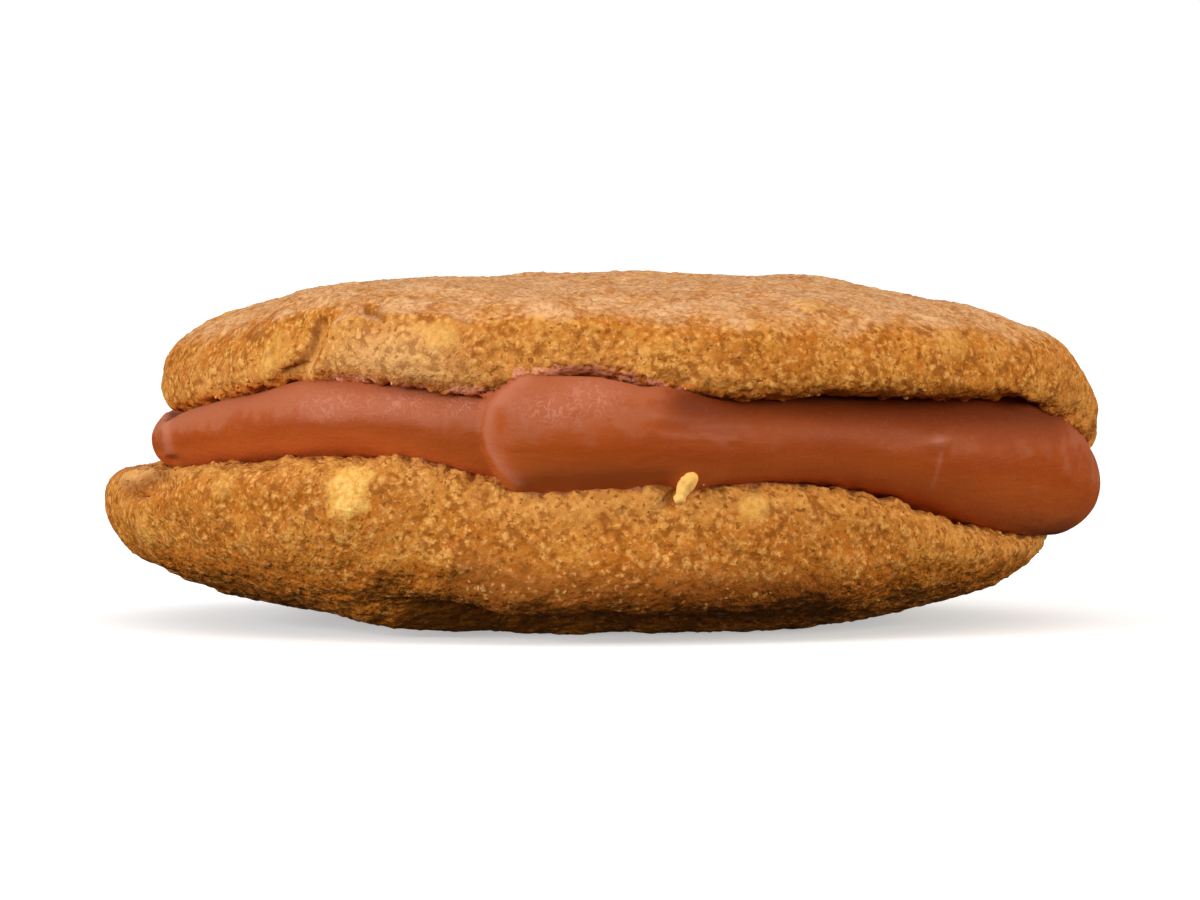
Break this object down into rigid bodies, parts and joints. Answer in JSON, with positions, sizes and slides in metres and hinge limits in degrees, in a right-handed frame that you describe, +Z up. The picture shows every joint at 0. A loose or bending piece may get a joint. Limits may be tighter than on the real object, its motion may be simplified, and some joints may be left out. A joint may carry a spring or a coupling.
{
  "type": "oatmeal cream pie",
  "caption": "Soft oatmeal cookie sandwich: domed crumbly cookies, flat sides facing, with a thick layer of smooth brown cream squeezed out between them.",
  "frame": {"origin": "on the table, under the middle of the pie's bounding box", "axes": "+Z up out of the top cookie's crown, +X towards the end where the cream bulges out, -Y towards the front, where the piped end of the cream shows"},
  "size_m": [0.0802, 0.078, 0.0283],
  "materials": {
    "crumb": "soft baked crumb with pale oat flakes, matte",
    "cream": "smooth spread cream, satin"
  },
  "bodies": {
    "root": {"top_cookie": "crumb", "cream_filling": "cream", "bottom_cookie": "crumb"}
  },
  "joints": []
}
